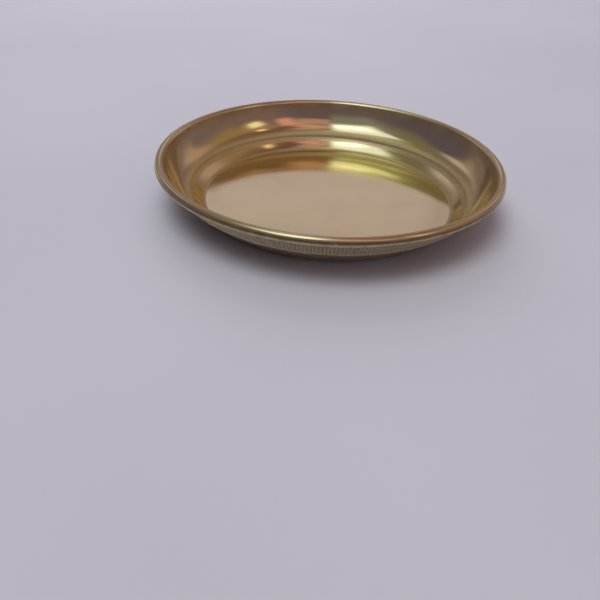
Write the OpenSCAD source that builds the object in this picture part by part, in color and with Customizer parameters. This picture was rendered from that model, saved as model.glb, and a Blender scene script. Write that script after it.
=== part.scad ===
// Small round plate drawn from one sheet of brass, with a stepped wall, a wired rim and a fluted band.
// Millimetres. +Z is up, and the origin is the middle of the underside.

/* [Plate] */
// Outside diameter over the rolled rim
plate_d = 100; // [96:1:120]
// Diameter of the flat floor
floor_d = 72; // [60:0.1:73]
// Thickness of the sheet
sheet_t = 0.5; // [0.4:0.05:0.6]

/* [Wall] */
// Diameter of the step half-way up the wall, through the middle of the sheet
step_d = 81.1; // [79:0.1:83]
// Straight height of the step's riser, measured along the sheet
step_rise = 0.5; // [0.3:0.05:1]
// Bend radius where the floor turns up, to the middle of the sheet
floor_bend_r = 2; // [1.5:0.05:4]
// Bend radius above and below the step's riser, to the middle of the sheet
step_bend_r = 0.5; // [0.4:0.05:1]
// Radius of the cove above the step, to the middle of the sheet
cove_r = 9.2; // [7:0.1:12]

/* [Rim] */
// Diameter of the wire that the edge is rolled round
wire_d = 1.6; // [1.2:0.1:2]
// Play between the wire and the sheet round it
wire_play = 0.025; // [0.01:0.005:0.05]

/* [Fluted band] */
// Number of flutes round the outside
flute_count = 300; // [60:1:360]
// Depth of a flute
flute_depth = 0.1; // [0.05:0.01:0.12]
// Width of a flute, a shallow V that a straight knurling wheel rolls into the sheet
flute_w = 0.5; // [0.3:0.05:0.5]
// Height of the raised line at either edge of the band
line_h = 0.06; // [0.04:0.01:0.12]

/* [Hidden] */
$fn = 180;
brass = "#b8a070";
wire_brass = "#a98f58";

// Slope of the sheet, in degrees above level, at each change in the section
lower_foot = 35;
lower_head = 47;
riser = 69;
cove_foot = 23;
cove_head = 49;
upper_head = 71;
curl_end = -229;

// Slopes at the band's lower line and at its upper line
band_foot = 44;
band_head = 61;
// Half of the bend that a raised line spans
line_half = 0.9;

// The rolled rim
bead_r = wire_d / 2 + wire_play + sheet_t;
curl_r = bead_r - sheet_t / 2;
bead_x = plate_d / 2 - bead_r;

// Degrees of bend that one straight facet of the section covers, on wide bends and on tight ones
facet = 4;
fine_facet = 12;

// A station of the section is [distance from the axis, height, slope], on the middle of the sheet.
// An arc's stations follow from the one it starts at, its radius and the slope it ends at.
function arc_at(s, r, slope) = [
    s[0] + sign(slope - s[2]) * r * (sin(slope) - sin(s[2])),
    s[1] - sign(slope - s[2]) * r * (cos(slope) - cos(s[2])),
    slope
];
function arc(s, r, to, step) =
    let (n = ceil(abs(to - s[2]) / step))
    [for (i = [1:n]) arc_at(s, r, s[2] + (to - s[2]) * i / n)];
function run(s, length) = [s[0] + length * cos(s[2]), s[1] + length * sin(s[2]), s[2]];
function last(list) = list[len(list) - 1];

// Floor, its bend, lower wall, step, cove, upper wall and rim, one after another from the middle outwards
floor_edge = [floor_d / 2, sheet_t / 2, 0];
bend = concat([floor_edge], arc(floor_edge, floor_bend_r, lower_foot, facet));
riser_reach = step_bend_r * (sin(riser) - sin(lower_head)) + step_rise * cos(riser) / 2;
lower_r = (step_d / 2 - riser_reach - last(bend)[0]) / (sin(lower_head) - sin(lower_foot));
lower_wall = arc(last(bend), lower_r, lower_head, facet);
step_foot = arc(last(lower_wall), step_bend_r, riser, fine_facet);
step_head = arc(run(last(step_foot), step_rise), step_bend_r, cove_foot, fine_facet);
step = concat(step_foot, [run(last(step_foot), step_rise)], step_head);
cove = arc(last(step), cove_r, cove_head, facet);
upper_top_x = bead_x - curl_r * sin(upper_head);
upper_r = (upper_top_x - last(cove)[0]) / (sin(upper_head) - sin(cove_head));
upper_wall = concat(cove, arc(last(cove), upper_r, upper_head, facet));
bead_z = last(upper_wall)[1] - curl_r * cos(upper_head);
curl = arc(last(upper_wall), curl_r, curl_end, fine_facet);

// A point set off from the sheet's middle, upwards for a positive distance
function beside(s, off) = [s[0] - off * sin(s[2]), s[1] + off * cos(s[2])];
function upper_at(slope) =
    slope < cove_head ? arc_at(last(step), cove_r, slope) : arc_at(last(cove), upper_r, slope);

// Underside of the upper wall: plain, a raised line, the band's straight face, and a raised line
function raised_line(slope) = [
    for (i = [-2:2])
    beside(upper_at(slope + i * line_half / 2), -sheet_t / 2 - line_h * (1 - i * i / 4))
];
upper_outside = concat(
    [for (s = upper_wall) if (s[2] < band_foot - line_half) beside(s, -sheet_t / 2)],
    raised_line(band_foot),
    raised_line(band_head),
    [for (s = upper_wall) if (s[2] > band_head + line_half) beside(s, -sheet_t / 2)]
);

inner_side = [for (s = concat(bend, lower_wall, step, upper_wall, curl)) beside(s, sheet_t / 2)];
outer_side = concat(
    [for (s = concat(bend, lower_wall, step)) beside(s, -sheet_t / 2)],
    upper_outside,
    [for (s = curl) beside(s, -sheet_t / 2)]
);

module section() {
    inside = concat([[0, sheet_t]], inner_side);
    outside = concat([[0, 0]], outer_side);
    polygon(concat(inside, [for (i = [len(outside) - 1:-1:0]) outside[i]]));
}

// One flute runs straight up the band's face and stops just short of each line
flute_low = last(raised_line(band_foot));
flute_high = raised_line(band_head)[0];
flute_run = flute_high - flute_low;
flute_length = norm(flute_run);
flute_lean = atan2(flute_run[0], flute_run[1]);
flute_gap = 0.12;

// The cutter's V opens past the face by half of the flute's depth
module flute() {
    translate([flute_low[0], 0, flute_low[1]])
        rotate([0, flute_lean, 0])
            translate([0, 0, flute_gap])
                linear_extrude(flute_length - 2 * flute_gap)
                    polygon([
                        [-flute_depth, 0],
                        [flute_depth / 2, 0.75 * flute_w],
                        [flute_depth / 2, -0.75 * flute_w]
                    ]);
}

// The whole plate is one sheet
module dish() {
    color(brass)
        difference() {
            rotate_extrude()
                section();
            for (i = [0:flute_count - 1])
                rotate([0, 0, i * 360 / flute_count])
                    flute();
        }
}

// Wire inside the rolled edge
module rim_wire() {
    color(wire_brass)
        rotate_extrude()
            translate([bead_x, bead_z])
                circle(d = wire_d);
}

dish();
rim_wire();
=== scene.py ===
import math

import bpy
from mathutils import Matrix, Vector


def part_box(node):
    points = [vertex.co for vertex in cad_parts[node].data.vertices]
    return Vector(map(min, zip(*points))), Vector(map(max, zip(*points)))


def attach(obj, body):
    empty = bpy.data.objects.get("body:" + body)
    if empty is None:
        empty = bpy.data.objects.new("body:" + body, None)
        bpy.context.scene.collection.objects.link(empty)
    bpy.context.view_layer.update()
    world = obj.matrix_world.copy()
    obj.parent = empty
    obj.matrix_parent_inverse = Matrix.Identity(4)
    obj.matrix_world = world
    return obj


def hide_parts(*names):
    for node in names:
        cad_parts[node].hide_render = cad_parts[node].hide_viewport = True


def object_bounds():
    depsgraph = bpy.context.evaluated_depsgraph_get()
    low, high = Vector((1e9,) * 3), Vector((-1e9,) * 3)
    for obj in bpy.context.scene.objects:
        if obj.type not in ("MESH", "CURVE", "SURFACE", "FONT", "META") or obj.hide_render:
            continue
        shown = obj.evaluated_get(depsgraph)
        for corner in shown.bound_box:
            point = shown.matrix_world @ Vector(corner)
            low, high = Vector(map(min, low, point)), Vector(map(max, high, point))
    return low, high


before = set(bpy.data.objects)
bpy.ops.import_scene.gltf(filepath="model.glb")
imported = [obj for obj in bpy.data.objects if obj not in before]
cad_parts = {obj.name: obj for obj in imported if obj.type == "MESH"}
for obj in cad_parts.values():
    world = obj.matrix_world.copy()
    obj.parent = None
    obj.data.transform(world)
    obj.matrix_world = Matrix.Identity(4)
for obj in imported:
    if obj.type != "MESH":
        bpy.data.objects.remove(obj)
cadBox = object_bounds()
print("frame loaded")


def hexColour(code):
    # sRGB hex to the linear colour that a shader takes
    parts = [int(code[i:i + 2], 16) / 255 for i in (1, 3, 5)]
    return [c / 12.92 if c <= 0.04045 else ((c + 0.055) / 1.055) ** 2.4 for c in parts] + [1.0]


def addNode(tree, kind, inputs=None, **settings):
    # one node with its settings; an input is given a value, or another node's output to link
    made = tree.nodes.new(kind)
    for name, value in settings.items():
        setattr(made, name, value)
    for socket, given in (inputs or {}).items():
        if isinstance(given, bpy.types.NodeSocket):
            tree.links.new(given, made.inputs[socket])
        else:
            made.inputs[socket].default_value = given
    return made


# sockets of a Mix node: its two numbers, its two colours, and the output that its colour comes out of
numberA, numberB, colourA, colourB, colourOut = 2, 3, 6, 7, 2


def newMaterial(name):
    material = bpy.data.materials.new(name)
    material.use_nodes = True
    material.node_tree.nodes.clear()
    return material, material.node_tree


def sinDeg(slope):
    return math.sin(math.radians(slope))


def cosDeg(slope):
    return math.cos(math.radians(slope))


def clamped(value):
    return min(1, max(0, value))


# Camera: a phone held in front of the plate, a little above it
camera = {
    "place": (-0.00669, -0.19074, 0.09185),  # metres
    "tilt": 55.90,  # degrees up from straight down
    "roll": 2.83,
    "lens": 42,  # mm
    "sensor": 36,
    "nearest": 0.005,  # metres
    "farthest": 20,
}
cameraData = bpy.data.cameras.new("camera")
cameraData.lens = camera["lens"]
cameraData.sensor_width = camera["sensor"]
cameraData.clip_start = camera["nearest"]
cameraData.clip_end = camera["farthest"]
cameraObject = bpy.data.objects.new("camera", cameraData)
cameraObject.matrix_world = (
    Matrix.Translation(camera["place"])
    @ Matrix.Rotation(math.radians(camera["tilt"]), 4, "X")
    @ Matrix.Rotation(math.radians(camera["roll"]), 4, "Z")
)
bpy.context.scene.collection.objects.link(cameraObject)
bpy.context.scene.camera = cameraObject


# Plate: one spun sheet with its edge rolled over a wire. Lengths in mm, slopes in degrees above level.
# Grime and painted shade, softness and dullness drive the brass, from 0 for none to 1 for full.
plate = {
    "across": 100,
    "sheet": 0.5,
    "floorAcross": 72,
    "stepAcross": 81.1,
    "stepRise": 0.5,
    "floorBend": 2,
    "stepBend": 0.5,
    "cove": 9.2,
    "beadAcross": 2.65,
    "lowerFoot": 35,
    "lowerHead": 47,
    "riser": 69,
    "coveFoot": 23,
    "coveHead": 49,
    "upperHead": 71,
    "curlEnd": -229,
    "bandFoot": 44,  # slopes at the fluted band's two raised lines
    "bandHead": 61,
    "lineHalf": 0.9,
    "lineHeight": 0.06,
    "lineRows": 3,  # on either side of a raised line's crest
    "flutes": 300,
    "fluteDepth": 0.1,
    "fluteWidth": 0.5,
    "fluteGap": 0.12,  # from a raised line to a flute's end
    "fluteEnd": 0.04,  # length over which a flute runs out
    "fluteColumns": (0, 0.12, 0.5, 1),  # shares of a flute's half width
    "fluteBlunt": 0.94,  # share of the V's depth that it reaches
    # how much darker the colour gets at a flute's full depth
    "fluteDarkening": 0.8,
    "bandRows": (0.25, 0.5, 0.75),  # shares of the way up the band
    "floorRings": (0, 0.04, 0.12, 0.25, 0.4, 0.55, 0.7, 0.82, 0.92),  # shares of the floor's radius
    "facets": {  # degrees of bend that one row of the mesh covers
        "floorBend": 4,
        "lowerWall": 1.5,
        "step": 5,
        "cove": 2.5,
        "upperWall": 2,
        "curl": 6,
    },
    "sharpAngle": 60,
    "belowStepRows": 2,
    "buffed": {  # grime and softness; the buff misses part of the step's corners
        "floor": (0, 0),
        "floorBend": (0.25, 0.5),
        "lowerWall": (0.15, 0),
        "belowStep": (0.3, 0.5),
        "step": (0.1, 1),
    },
    "upperWall": {
        "grimeAndShade": 0.1,
        "stepSoft": 0.8,  # just above the step, fading out over a few rows
        "stepRows": 5,
        "rimFrom": 62,  # slope where the rim's softness and grime come in
        "rimOver": 9,
        "rimGrime": 0.5,
        "rimSoft": 0.7,
    },
    "bead": {  # degrees down from its crown
        "soft": 0.15,
        "shadeLineFrom": 63,  # here the polish gives way to a painted shade line
        "shadeLineFades": 6,
        "shadeLineShare": 1.5,  # painted shade; more than full, so that the line is dark all the way round
        # from here down, the bead's underside is darker: painted shade, for the shaded table that it mirrors
        "shadedUndersideFrom": 92,
        "undersideShade": 0.75,
    },
    "outside": {  # grime of the side that was never buffed
        "floor": 0.8,
        "lowerWall": 0.6,
        "belowBand": 0.4,
        "raisedLine": 0.3,
        "raisedLineDull": 0.7,
        "aboveBand": 0.9,
        "curl": 1,
    },
}


def arcStation(start, radius, slope):
    # a station is (distance from the axis, height, slope) on the middle of the sheet
    x, z, first = start
    way = 1 if slope > first else -1
    return (
        x + way * radius * (sinDeg(slope) - sinDeg(first)),
        z - way * radius * (cosDeg(slope) - cosDeg(first)),
        slope,
    )


def arcStations(start, radius, slope, facet):
    turn = slope - start[2]
    count = math.ceil(abs(turn) / facet)
    return [arcStation(start, radius, start[2] + turn * i / count) for i in range(1, count + 1)]


def offStation(station, off):
    # the point set off from the middle of the sheet, upwards for a positive distance
    x, z, slope = station
    return x - off * sinDeg(slope), z + off * cosDeg(slope)


def sheetMiddle():
    # the middle of the sheet, stretch by stretch from the axis to the end of the curl
    facets = plate["facets"]
    riser, rise = plate["riser"], plate["stepRise"]
    lowerFoot, lowerHead = plate["lowerFoot"], plate["lowerHead"]
    coveHead, upperHead = plate["coveHead"], plate["upperHead"]
    half = plate["sheet"] / 2
    beadRadius = plate["beadAcross"] / 2
    curlRadius = beadRadius - half
    beadX = plate["across"] / 2 - beadRadius

    floorEdge = (plate["floorAcross"] / 2, half, 0)
    floor = [(floorEdge[0] * share, half, 0) for share in plate["floorRings"]] + [floorEdge]
    floorBend = arcStations(floorEdge, plate["floorBend"], lowerFoot, facets["floorBend"])
    reach = plate["stepBend"] * (sinDeg(riser) - sinDeg(lowerHead)) + rise * cosDeg(riser) / 2
    lowerRadius = plate["stepAcross"] / 2 - reach - floorBend[-1][0]
    lowerRadius /= sinDeg(lowerHead) - sinDeg(lowerFoot)
    lowerWall = arcStations(floorBend[-1], lowerRadius, lowerHead, facets["lowerWall"])
    step = arcStations(lowerWall[-1], plate["stepBend"], riser, facets["step"])
    x, z, slope = step[-1]
    riserTop = (x + rise * cosDeg(slope), z + rise * sinDeg(slope), slope)
    step += [riserTop] + arcStations(riserTop, plate["stepBend"], plate["coveFoot"], facets["step"])
    cove = arcStations(step[-1], plate["cove"], coveHead, facets["cove"])
    upperRadius = beadX - curlRadius * sinDeg(upperHead) - cove[-1][0]
    upperRadius /= sinDeg(upperHead) - sinDeg(coveHead)
    upperWall = cove + arcStations(cove[-1], upperRadius, upperHead, facets["upperWall"])
    curl = arcStations(upperWall[-1], curlRadius, plate["curlEnd"], facets["curl"])
    return {
        "floor": floor, "floorBend": floorBend, "lowerWall": lowerWall, "step": step,
        "coveTop": cove[-1], "upperRadius": upperRadius, "upperWall": upperWall, "curl": curl,
    }


def upperStation(sheet, slope):
    # the upper wall's station at any slope
    if slope < plate["coveHead"]:
        return arcStation(sheet["step"][-1], plate["cove"], slope)
    return arcStation(sheet["coveTop"], sheet["upperRadius"], slope)


def sectionRow(point, grimeAndShade, soft=0, dull=0, flute=None, way=None):
    # a row of the band also has the depth of a flute there and the way up the band, and fine columns
    return (*point, grimeAndShade, soft, dull, flute, way)


def buffedRows(sheet):
    # the inside and the bead, from the middle of the floor outwards
    half = plate["sheet"] / 2
    buffed, upper, bead = plate["buffed"], plate["upperWall"], plate["bead"]
    lowerWall = sheet["lowerWall"]
    near = plate["belowStepRows"] + 1
    stretches = (
        (sheet["floor"], buffed["floor"]),
        (sheet["floorBend"], buffed["floorBend"]),
        (lowerWall[:-near], buffed["lowerWall"]),
        (lowerWall[-near:-1], buffed["belowStep"]),
        (lowerWall[-1:] + sheet["step"], buffed["step"]),
    )
    rows = [sectionRow(offStation(s, half), *finish) for stations, finish in stretches for s in stations]
    for index, s in enumerate(sheet["upperWall"]):
        rim = clamped((s[2] - upper["rimFrom"]) / upper["rimOver"])
        grimeAndShade = upper["grimeAndShade"] + upper["rimGrime"] * rim
        soft = upper["rimSoft"] * rim + max(0, upper["stepSoft"] - index / upper["stepRows"])
        rows.append(sectionRow(offStation(s, half), grimeAndShade, soft))
    # below the bead's crown, a dark line and a darker underside are painted shade, for the dark, shaded
    # surroundings in front that the bead mirrors
    for s in sheet["curl"]:
        down = -s[2]
        if down < bead["shadedUndersideFrom"]:
            dull = clamped((down - bead["shadeLineFrom"]) / bead["shadeLineFades"])
            grimeAndShade = bead["shadeLineShare"] * dull
        else:
            grimeAndShade, dull = bead["undersideShade"], 1
        rows.append(sectionRow(offStation(s, half), grimeAndShade, bead["soft"], dull))
    return rows


def outsideRows(sheet):
    # the side that faces down, from the middle of the floor outwards and round inside the curl
    half = plate["sheet"] / 2
    grimeAndShadeValues = plate["outside"]

    def below(stations, grimeAndShade):
        return [sectionRow(offStation(s, -half), grimeAndShade, dull=1) for s in stations]

    def raisedLine(slope):
        count = plate["lineRows"]
        line = []
        for i in range(-count, count + 1):
            station = upperStation(sheet, slope + i * plate["lineHalf"] / count)
            line.append(offStation(station, -half - plate["lineHeight"] * (1 - i * i / count ** 2)))
        return line

    def lineRows(points):
        return [sectionRow(p, grimeAndShadeValues["raisedLine"], dull=grimeAndShadeValues["raisedLineDull"]) for p in points]

    lowLine = raisedLine(plate["bandFoot"])
    highLine = raisedLine(plate["bandHead"])
    low, high = Vector(lowLine[-1]), Vector(highLine[0])
    way = (high - low).normalized()
    start = way * plate["fluteGap"]
    full = way * (plate["fluteGap"] + plate["fluteEnd"])
    band = [(low, 0), (low + start, 0), (low + full, 1)]
    band += [(low.lerp(high, share), 1) for share in plate["bandRows"]]
    band += [(high - full, 1), (high - start, 0), (high, 0)]

    foot = plate["bandFoot"] - plate["lineHalf"]
    head = plate["bandHead"] + plate["lineHalf"]
    rows = below(sheet["floor"] + sheet["floorBend"], grimeAndShadeValues["floor"])
    rows += below(sheet["lowerWall"] + sheet["step"], grimeAndShadeValues["lowerWall"])
    rows += below([s for s in sheet["upperWall"] if s[2] < foot], grimeAndShadeValues["belowBand"])
    rows += lineRows(lowLine[:-1])
    rows += [sectionRow(p, 0, dull=1, flute=plate["fluteDepth"] * share, way=way) for p, share in band]
    rows += lineRows(highLine[1:])
    rows += below([s for s in sheet["upperWall"] if s[2] > head], grimeAndShadeValues["aboveBand"])
    rows += below(sheet["curl"], grimeAndShadeValues["curl"])
    return rows


def stripFaces(a, b, end):
    # the faces between the ring of points from a to b and the next ring, from b to end
    countA, countB = b - a, end - b
    if countA == 1:
        return [(a, b + i, b + (i + 1) % countB) for i in range(countB)]
    if countB == 1:
        return [(a + i, b, a + (i + 1) % countA) for i in range(countA)]
    if countA == countB:
        return [(a + i, b + i, b + (i + 1) % countA, a + (i + 1) % countA) for i in range(countA)]
    # one ring has several columns for each of the other's
    coarse, fine = min(countA, countB), max(countA, countB)
    each = fine // coarse
    faces = []
    for i in range(coarse):
        j = (i + 1) % coarse
        for k in range(each):
            f, g = i * each + k, (i * each + k + 1) % fine
            near = i if k < each // 2 else j
            faces.append((a + near, b + f, b + g) if countA < countB else (a + f, b + near, a + g))
        turn = i * each + each // 2
        faces.append((a + i, b + turn, a + j) if countA < countB else (a + turn, b + i, b + j))
    return faces


def buildPlate():
    sheet = sheetMiddle()
    rows = buffedRows(sheet) + outsideRows(sheet)[::-1]
    # the section is fitted to the CAD plate's own width and height
    low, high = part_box("dish")
    across = (high.x - low.x) / (2 * max(row[0] for row in rows))
    tall = (high.z - low.z) / (max(row[1] for row in rows) - min(row[1] for row in rows))
    middle = (low + high) / 2

    # columns of a flute, from its middle to the next one's: offset and share of its depth
    bandX = [row[0] for row in rows if row[5] is not None]
    bandMiddle = sum(bandX) / len(bandX)
    pitch = 2 * math.pi * bandMiddle / plate["flutes"]
    halfWidth = plate["fluteWidth"] / 2
    offsets = [halfWidth * share for share in plate["fluteColumns"]]
    offsets = offsets + [pitch / 2] + [pitch - offset for offset in offsets[:0:-1]]
    depths = [
        min(plate["fluteBlunt"], max(0, 1 - min(offset, pitch - offset) / halfWidth)) for offset in offsets
    ]
    turns = [2 * math.pi * i / plate["flutes"] for i in range(plate["flutes"])]

    points, alongs, grimeAndShadeValues, softs, dulls, starts = [], [], [], [], [], []
    travelled = 0
    for index, (x, z, grimeAndShade, soft, dull, flute, way) in enumerate(rows):
        if index:
            travelled += math.dist((x, z), rows[index - 1][:2])
        starts.append(len(points))
        if x == 0:
            columns = [(0, 0)]
        elif flute is None:
            columns = [(turn, 0) for turn in turns]
        else:
            columns = [
                (turn + offset / bandMiddle, depth * flute)
                for turn in turns
                for offset, depth in zip(offsets, depths)
            ]
        for turn, depth in columns:
            # a flute sinks into the sheet, square to the band
            r = (x - (depth * way.y if depth else 0)) * across
            height = (z + (depth * way.x if depth else 0)) * tall
            points.append((middle.x + r * math.cos(turn), middle.y + r * math.sin(turn), low.z + height))
            alongs.append(travelled)
            grimeAndShadeValues.append(grimeAndShade + plate["fluteDarkening"] * depth / plate["fluteDepth"])
            softs.append(soft)
            dulls.append(dull)
    starts.append(len(points))

    faces = []
    for index in range(len(rows) - 1):
        faces += stripFaces(*starts[index:index + 3])

    mesh = bpy.data.meshes.new("spunDish")
    mesh.from_pydata(points, [], faces)
    mesh.validate()
    for name, values in (("alongSection", alongs), ("grimeAndShade", grimeAndShadeValues), ("soft", softs), ("dull", dulls)):
        mesh.attributes.new(name, "FLOAT", "POINT").data.foreach_set("value", values)
    mesh.shade_smooth()
    mesh.set_sharp_from_angle(angle=math.radians(plate["sharpAngle"]))
    dish = bpy.data.objects.new("spunDish", mesh)
    bpy.context.scene.collection.objects.link(dish)
    print("plate built:", len(points), "points,", len(faces), "faces")
    return dish


# Polished sheet brass: spun on a chuck, buffed inside and on the rim, then handled. Inside it is a pale
# gold mirror, slightly soft, with faint rings from the spinning tool, hairlines from wiping and browner
# recesses. The buff never reached the outside, so it is a dull pale brown, darker in the flutes. A dark
# line under the bead's crown and the bead's darker underside are painted shade.
# A scale is 1 over the size of a pattern's blotches in metres. That size is noted beside it.
sheetBrass = {
    "clean": "#F1E6B0",
    "aged": "#B5925A",
    "dull": "#EDE0BC",
    # also the colour of the painted shade under the bead's crown
    "dullDark": "#846F50",
    "roughness": 0.1,
    "smudged": 0.16,
    "softRoughness": 0.65,
    "dullRoughness": 0.38,
    # 14 mm, a finger's smears
    "smudges": {"scale": 70, "detail": 4, "low": 0.45, "high": 0.75, "least": 0},
    # 6 mm, grime in the recesses
    "grimeAndShade": {"scale": 160, "detail": 4, "low": 0.2, "high": 0.6, "least": 0},
    # 2.4 mm, tarnish on two or three flutes, which also breaks up the painted shade under the bead; the
    # flutes are darker than the lands between them
    "tarnish": {"scale": 420, "detail": 3, "low": 0.25, "high": 0.75, "least": 0.5},
    # 9 mm, as the floor isn't quite flat after spinning; depths in metres
    "waves": {"scale": 110, "detail": 1, "depth": 0.000012},
    # 0.4 mm, coarser than the real grain of a dull sheet, so that it shows
    "grain": {"scale": 2500, "detail": 3, "depth": 0.00001},
    # the tool's marks are 0.7 mm apart and the hairlines 0.2 mm
    "rings": {"perMm": 1.4, "roundPlate": 1.5, "detail": 3, "depth": 0.000004},
    "hairlines": {"perMm": 5, "roundPlate": 6, "detail": 2, "depth": 0.0000006},
}


def sheetBrassMaterial():
    material, tree = newMaterial("polishedSheetBrass")
    place = addNode(tree, "ShaderNodeTexCoord").outputs["Object"]
    along, grimeAndShade, soft, dull = [
        addNode(tree, "ShaderNodeAttribute", attribute_name=name).outputs["Fac"]
        for name in ("alongSection", "grimeAndShade", "soft", "dull")
    ]

    # the direction away from the axis, for marks that follow the spinning
    flat = addNode(tree, "ShaderNodeVectorMath", {0: place, 1: (1, 1, 0)}, operation="MULTIPLY").outputs[0]
    spoke = addNode(tree, "ShaderNodeVectorMath", {0: flat}, operation="NORMALIZE").outputs[0]
    spokeX, spokeY, _ = addNode(tree, "ShaderNodeSeparateXYZ", {0: spoke}).outputs

    def spinMarks(kind):
        # noise that is fine across the spinning and drawn out along it
        marks = sheetBrass[kind]
        stretched = [
            addNode(tree, "ShaderNodeMath", {0: part, 1: marks[scale]}, operation="MULTIPLY").outputs[0]
            for part, scale in ((spokeX, "roundPlate"), (spokeY, "roundPlate"), (along, "perMm"))
        ]
        where = addNode(tree, "ShaderNodeCombineXYZ", dict(enumerate(stretched))).outputs[0]
        noise = {"Vector": where, "Scale": 1, "Detail": marks["detail"], "Roughness": 0.6}
        return addNode(tree, "ShaderNodeTexNoise", noise).outputs["Fac"]

    def blotches(kind):
        # noise between low and high, spread over least to 1
        spots = sheetBrass[kind]
        noise = {"Vector": place, "Scale": spots["scale"], "Detail": spots["detail"], "Roughness": 0.55}
        spread = {"From Min": spots["low"], "From Max": spots["high"], "To Min": spots["least"]}
        spread["Value"] = addNode(tree, "ShaderNodeTexNoise", noise).outputs["Fac"]
        return addNode(tree, "ShaderNodeMapRange", spread).outputs[0]

    sides = []
    for kind, clean, dark in (("grimeAndShade", "clean", "aged"), ("tarnish", "dull", "dullDark")):
        share = {0: grimeAndShade, 1: blotches(kind)}
        share = addNode(tree, "ShaderNodeMath", share, operation="MULTIPLY").outputs[0]
        tints = {0: share, colourA: hexColour(sheetBrass[clean]), colourB: hexColour(sheetBrass[dark])}
        sides.append(addNode(tree, "ShaderNodeMix", tints, data_type="RGBA").outputs[colourOut])
    colour = {0: dull, colourA: sides[0], colourB: sides[1]}
    colour = addNode(tree, "ShaderNodeMix", colour, data_type="RGBA").outputs[colourOut]

    rough = {"To Min": sheetBrass["roughness"], "To Max": sheetBrass["smudged"], "Value": blotches("smudges")}
    rough = addNode(tree, "ShaderNodeMapRange", rough).outputs[0]
    for share, most in ((soft, "softRoughness"), (dull, "dullRoughness")):
        rough = {0: share, numberA: rough, numberB: sheetBrass[most]}
        rough = addNode(tree, "ShaderNodeMix", rough, data_type="FLOAT").outputs[0]

    waves, grain = [
        addNode(
            tree, "ShaderNodeTexNoise",
            {"Vector": place, "Scale": sheetBrass[kind]["scale"], "Detail": sheetBrass[kind]["detail"]},
        ).outputs["Fac"]
        for kind in ("waves", "grain")
    ]
    dullGrain = addNode(tree, "ShaderNodeMath", {0: grain, 1: dull}, operation="MULTIPLY").outputs[0]
    relief = {}
    for kind, height in (
        ("waves", waves),
        ("rings", spinMarks("rings")),
        ("hairlines", spinMarks("hairlines")),
        ("grain", dullGrain),
    ):
        relief.update({"Height": height, "Distance": sheetBrass[kind]["depth"]})
        relief["Normal"] = addNode(tree, "ShaderNodeBump", relief).outputs[0]
    looks = {"Metallic": 1, "Base Color": colour, "Roughness": rough, "Normal": relief["Normal"]}
    shader = addNode(tree, "ShaderNodeBsdfPrincipled", looks)
    addNode(tree, "ShaderNodeOutputMaterial", {0: shader.outputs[0]})
    return material


# Drawn brass wire: pulled through a die, so it is bright with fine lines. It is hidden in the rim.
wireBrass = {
    "clean": "#E8D79B",
    "aged": "#B98F4E",
    "smoothest": 0.17,
    "roughest": 0.32,
    "lineScale": 900,  # 1.1 mm
    "lineDepth": 0.000003,
}


def wireBrassMaterial():
    material, tree = newMaterial("drawnWireBrass")
    place = addNode(tree, "ShaderNodeTexCoord").outputs["Object"]
    lines = {"Vector": place, "Scale": wireBrass["lineScale"], "Detail": 3}
    lines = addNode(tree, "ShaderNodeTexNoise", lines).outputs["Fac"]
    clean, aged = hexColour(wireBrass["clean"]), hexColour(wireBrass["aged"])
    colour = addNode(
        tree, "ShaderNodeMix", {0: lines, colourA: clean, colourB: aged}, data_type="RGBA"
    ).outputs[colourOut]
    rough = {"Value": lines, "To Min": wireBrass["smoothest"], "To Max": wireBrass["roughest"]}
    rough = addNode(tree, "ShaderNodeMapRange", rough).outputs[0]
    relief = addNode(tree, "ShaderNodeBump", {"Height": lines, "Distance": wireBrass["lineDepth"]})
    looks = {"Metallic": 1, "Base Color": colour, "Roughness": rough, "Normal": relief.outputs[0]}
    shader = addNode(tree, "ShaderNodeBsdfPrincipled", looks)
    addNode(tree, "ShaderNodeOutputMaterial", {0: shader.outputs[0]})
    return material


dish = buildPlate()
dish.data.materials.append(sheetBrassMaterial())
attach(dish, "root")
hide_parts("dish")

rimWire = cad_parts["rim_wire"]
wireMaterial = wireBrassMaterial()
for slot in rimWire.material_slots:
    slot.material = wireMaterial
print("brass made")


# Table: a pale, smooth laminate, wide and with a rounded edge
table = {
    "colour": "#B9BBC4",
    "roughness": 0.6,
    "reach": 1.6,  # metres on every side
    "edge": 0.02,
    "below": 0.00002,
    "rings": (0, 0.03, 0.06, 0.12, 0.25, 0.5, 0.75, 1),  # shares of its reach
    "sides": 96,
    "edgeSteps": 8,
    "cloudScale": 9,  # 110 mm, faint unevenness of the colour
    "darkest": 0.94,
    "lightest": 1.06,
    "grainScale": 1500,  # 0.7 mm
    "grainDepth": 0.00001,
    "detail": 2,
}


def tableTop():
    reach, edge, sides = table["reach"], table["edge"], table["sides"]
    rings = [(share * reach, 0) for share in table["rings"]]
    for i in range(1, table["edgeSteps"] + 1):
        turn = math.radians(90 * i / table["edgeSteps"])
        rings.append((reach + edge * math.sin(turn), edge * (math.cos(turn) - 1)))
    turns = [2 * math.pi * i / sides for i in range(sides)]
    points = [(0, 0, 0)]
    for r, height in rings[1:]:
        points += [(r * math.cos(turn), r * math.sin(turn), height) for turn in turns]
    starts = [0] + [1 + sides * i for i in range(len(rings))]
    faces = []
    for index in range(len(rings) - 1):
        faces += stripFaces(*starts[index:index + 3])
    mesh = bpy.data.meshes.new("table")
    mesh.from_pydata(points, [], faces)
    mesh.shade_smooth()
    top = bpy.data.objects.new("table", mesh)
    top.location.z = cadBox[0].z - table["below"]
    bpy.context.scene.collection.objects.link(top)
    return top


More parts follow.
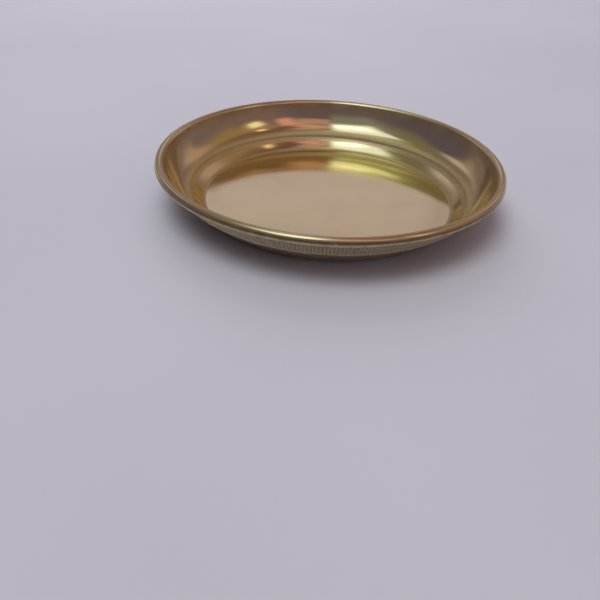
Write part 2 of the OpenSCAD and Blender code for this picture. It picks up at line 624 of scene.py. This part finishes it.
def laminateMaterial():
    material, tree = newMaterial("paleLaminate")
    place = addNode(tree, "ShaderNodeTexCoord").outputs["Object"]
    clouds, grain = [
        addNode(
            tree, "ShaderNodeTexNoise", {"Vector": place, "Scale": table[scale], "Detail": table["detail"]}
        ).outputs["Fac"]
        for scale in ("cloudScale", "grainScale")
    ]
    shade = {"Value": clouds, "To Min": table["darkest"], "To Max": table["lightest"]}
    shade = addNode(tree, "ShaderNodeMapRange", shade).outputs[0]
    colour = addNode(
        tree, "ShaderNodeMix", {0: 1, colourA: hexColour(table["colour"]), colourB: shade},
        data_type="RGBA", blend_type="MULTIPLY",
    ).outputs[colourOut]
    relief = addNode(tree, "ShaderNodeBump", {"Height": grain, "Distance": table["grainDepth"]})
    looks = {"Roughness": table["roughness"], "Base Color": colour, "Normal": relief.outputs[0]}
    shader = addNode(tree, "ShaderNodeBsdfPrincipled", looks)
    addNode(tree, "ShaderNodeOutputMaterial", {0: shader.outputs[0]})
    return material


top = tableTop()
top.data.materials.append(laminateMaterial())


# Studio: four soft panels light the table: a small and a wide one overhead, a window behind the plate
# and a weak one in front. What the brass mirrors is a mauve room, with white and pale green cards
# overhead to the left, rose and brown ones to the right, two lamps, a pale far wall and a pale door on
# the left.
# A patch of wall is given by azimuth from straight ahead to the right, elevation, half-width,
# half-height and edge, in degrees, by how much its middle leans per degree up, and by its colour.
# A card hangs level overhead; its place, half-size and edge are given for a height of 1: to the right
# and away from the camera. Its side is the half of the room that it ends in, at a straight edge.
studio = {
    "panels": {
        "keyPanel": {"place": (-0.45, -0.65, 2.4), "size": 1.5, "colour": "#FFFFFF", "radiance": 3.3},
        "softPanel": {"place": (-0.1, -0.2, 2.5), "size": 3.5, "colour": "#FFFFFF", "radiance": 0.5},
        "farWindow": {"place": (-0.15, 0.7, 0.5), "size": 0.6, "colour": "#F8F6FF", "radiance": 2.7},
        "frontWall": {"place": (1.5, -1.4, 0.6), "size": 2, "colour": "#FFE4EA", "radiance": 0.7},
    },
    "backdrop": "#C4C2CC",
    "room": "#7A6973",
    "patches": {
        "darkLeft": (-115, 24, 62, 20, 10, 0, "#5C5268"),
        "oliveLeft": (-75, 54, 45, 10, 8, 0, "#777062"),
        "cameraSide": (180, 34, 50, 28, 10, 0, "#67596A"),
        "cameraLow": (180, 2, 80, 12, 5, 0, "#5A5042"),
        "rightSide": (105, 28, 34, 22, 8, 0, "#78636D"),
        "warmRight": (62, 46, 28, 13, 7, 0, "#94795F"),
        "pinkRight": (40, 26, 12, 12, 7, 0, "#AD908E"),
        "brownAhead": (-24, 38, 12, 14, 6, 0, "#7D6E6C"),
        "lowLeft": (-32, 19, 19, 4, 4, 0, "#917F7F"),
        "duskRight": (61, 20, 9, 4, 5, 0, "#6F6274"),
        "paleLeft": (-46, 32, 9, 9, 6, -0.9, "#B8AAB5"),
        "farWall": (1, 26, 12, 5, 4, 0, "#BEB0C2"),
    },
    "cardEdge": (-0.02, 0.03),  # where a card that ends in the middle starts to show and is full
    "lowestCard": 0.05,  # rise of the line of sight below which the cards don't spread further
    "cards": {
        "brownOver": {"place": (0.35, 0.35), "half": (0.4, 0.5), "turn": 0, "edge": (0.3, 0.3),
                      "colour": "#7B6058", "radiance": 1, "side": 1},
        "plumLine": {"place": (0.12, 0.85), "half": (0.1, 0.35), "turn": 0, "edge": (0.5, 0.3),
                     "colour": "#765C6C", "radiance": 1, "side": 1},
        "roseEdge": {"place": (0.2, -0.2), "half": (0.2, 0.22), "turn": -30, "edge": (0.4, 0.4),
                     "colour": "#B9928F", "radiance": 1, "side": 1},
        "roseSpot": {"place": (0.52, -0.52), "half": (0.26, 0.12), "turn": -45, "edge": (0.4, 0.4),
                     "colour": "#DB9D9C", "radiance": 1, "side": 0},
        "roseLow": {"place": (0.2, -0.62), "half": (0.25, 0.14), "turn": 0, "edge": (0.4, 0.4),
                    "colour": "#B58C90", "radiance": 1, "side": 1},
        "darkGap": {"place": (0.42, -0.05), "half": (0.12, 0.25), "turn": -30, "edge": (0.4, 0.4),
                    "colour": "#6B4E4C", "radiance": 1, "side": 0},
        "greenCard": {"place": (-0.11, 0.5), "half": (0.12, 0.5), "turn": -12, "edge": (0.3, 0.2),
                      "colour": "#BCC2B6", "radiance": 1, "side": -1},
        "paleEdge": {"place": (-0.05, 0.42), "half": (0.08, 0.2), "turn": 0, "edge": (0.4, 0.4),
                     "colour": "#CACFC4", "radiance": 1, "side": -1},
        "greenShoulder": {"place": (-0.2, 0.12), "half": (0.34, 0.24), "turn": -30, "edge": (0.3, 0.4),
                          "colour": "#94967F", "radiance": 1, "side": -1},
        "whiteGlow": {"place": (-0.3, -0.6), "half": (0.42, 0.45), "turn": 0, "edge": (0.5, 0.5),
                      "colour": "#7E808A", "radiance": 1, "side": -1},
        "whiteCard": {"place": (-0.24, -0.2), "half": (0.26, 0.32), "turn": 0, "edge": (0.25, 0.25),
                      "colour": "#EEF3FF", "radiance": 1.15, "side": -1},
        "whiteCore": {"place": (-0.2, -0.3), "half": (0.16, 0.14), "turn": 0, "edge": (0.5, 0.5),
                      "colour": "#E8EEFF", "radiance": 2, "side": -1},
        "lampGlow": {"place": (0.9, -0.18), "half": (0.34, 0.2), "turn": -20, "edge": (0.6, 0.6),
                     "colour": "#A08668", "radiance": 1, "side": 0},
        "roseDot": {"place": (0.2, -0.22), "half": (0.12, 0.045), "turn": 0, "edge": (0.5, 0.5),
                    "colour": "#D2A0A2", "radiance": 1, "side": 1},
        "firstLamp": {"place": (0.58, 0.0), "half": (0.07, 0.05), "turn": -30, "edge": (0.5, 0.5),
                      "colour": "#F4CDB0", "radiance": 1.4, "side": 0},
        "secondLamp": {"place": (0.98, -0.3), "half": (0.16, 0.12), "turn": -20, "edge": (0.5, 0.5),
                       "colour": "#FFE6D8", "radiance": 1.1, "side": 0},
    },
}


def addPanels():
    for name, panel in studio["panels"].items():
        lamp = bpy.data.lights.new(name, "AREA")
        lamp.size = panel["size"]
        lamp.color = hexColour(panel["colour"])[:3]
        # an area lamp's power is its radiance times pi times its area
        lamp.energy = panel["radiance"] * math.pi * lamp.size ** 2
        hung = bpy.data.objects.new(name, lamp)
        hung.location = panel["place"]
        hung.rotation_euler = (-hung.location).to_track_quat("-Z", "Y").to_euler()
        hung.visible_glossy = False  # the painted room stands for it in the brass
        bpy.context.scene.collection.objects.link(hung)


def paintRoom():
    world = bpy.data.worlds.new("studio")
    bpy.context.scene.world = world
    world.use_nodes = True
    tree = world.node_tree
    tree.nodes.clear()
    direction = addNode(tree, "ShaderNodeTexCoord").outputs["Generated"]
    east, north, rise = addNode(tree, "ShaderNodeSeparateXYZ", {0: direction}).outputs

    def faded(share, value, none, full):
        # the share, kept where the value is within full of 0 and down to nothing where it is past none
        reach = addNode(tree, "ShaderNodeMath", {0: value}, operation="ABSOLUTE").outputs[0]
        within = {"Value": reach, "From Min": none, "From Max": full}
        within = addNode(tree, "ShaderNodeMapRange", within, interpolation_type="SMOOTHSTEP").outputs[0]
        return addNode(tree, "ShaderNodeMath", {0: within, 1: share}, operation="MULTIPLY").outputs[0]

    def painted(share, code, radiance=1):
        made = [channel * radiance for channel in hexColour(code)[:3]] + [1]
        inputs = {0: share, colourA: colour, colourB: made}
        return addNode(tree, "ShaderNodeMix", inputs, data_type="RGBA").outputs[colourOut]

    colour = addNode(tree, "ShaderNodeRGB").outputs[0]
    colour.default_value = hexColour(studio["room"])

    height = addNode(tree, "ShaderNodeMath", {0: rise}, operation="ARCSINE").outputs[0]
    for azimuth, elevation, halfWide, halfHigh, edge, lean, code in studio["patches"].values():
        # turned so that the patch is straight ahead
        turned = addNode(
            tree, "ShaderNodeVectorRotate", {"Vector": direction, "Angle": math.radians(azimuth)},
            rotation_type="Z_AXIS",
        ).outputs[0]
        sideways, ahead, _ = addNode(tree, "ShaderNodeSeparateXYZ", {0: turned}).outputs
        above = {0: height, 1: math.radians(elevation)}
        above = addNode(tree, "ShaderNodeMath", above, operation="SUBTRACT").outputs[0]
        leaning = addNode(tree, "ShaderNodeMath", {0: above, 1: lean}, operation="MULTIPLY").outputs[0]
        aside = addNode(tree, "ShaderNodeMath", {0: sideways, 1: ahead}, operation="ARCTAN2").outputs[0]
        aside = addNode(tree, "ShaderNodeMath", {0: aside, 1: leaning}, operation="SUBTRACT").outputs[0]
        share = 1
        for value, half in ((aside, halfWide), (above, halfHigh)):
            share = faded(share, value, math.radians(half + edge), math.radians(half - edge))
        colour = painted(share, code)

    rise = {0: rise, 1: studio["lowestCard"]}
    rise = addNode(tree, "ShaderNodeMath", rise, operation="MAXIMUM").outputs[0]
    right, away = [
        addNode(tree, "ShaderNodeMath", {0: part, 1: rise}, operation="DIVIDE").outputs[0]
        for part in (east, north)
    ]
    overhead = addNode(tree, "ShaderNodeCombineXYZ", {0: right, 1: away}).outputs[0]
    for card in studio["cards"].values():
        local = addNode(
            tree, "ShaderNodeMapping",
            {
                "Vector": overhead,
                "Location": (*card["place"], 0),
                "Rotation": (0, 0, math.radians(card["turn"])),
                "Scale": (*card["half"], 1),
            },
            vector_type="TEXTURE",
        ).outputs[0]
        share = 1
        if card["side"]:
            # the cards on either side of the middle meet there in a straight edge
            none, full = [edge * card["side"] for edge in studio["cardEdge"]]
            ending = {"Value": right, "From Min": none, "From Max": full}
            share = addNode(tree, "ShaderNodeMapRange", ending, interpolation_type="SMOOTHSTEP").outputs[0]
        for value, edge in zip(addNode(tree, "ShaderNodeSeparateXYZ", {0: local}).outputs, card["edge"]):
            share = faded(share, value, 1 + edge, 1 - edge)
        colour = painted(share, card["colour"], card["radiance"])

    # a camera that looks past the table's edge sees a pale backdrop
    seen = addNode(tree, "ShaderNodeLightPath").outputs["Is Camera Ray"]
    background = addNode(tree, "ShaderNodeBackground", {0: painted(seen, studio["backdrop"])})
    addNode(tree, "ShaderNodeOutputWorld", {0: background.outputs[0]})


addPanels()
paintRoom()
bpy.context.scene.view_settings.view_transform = "Standard"
print("studio lit")
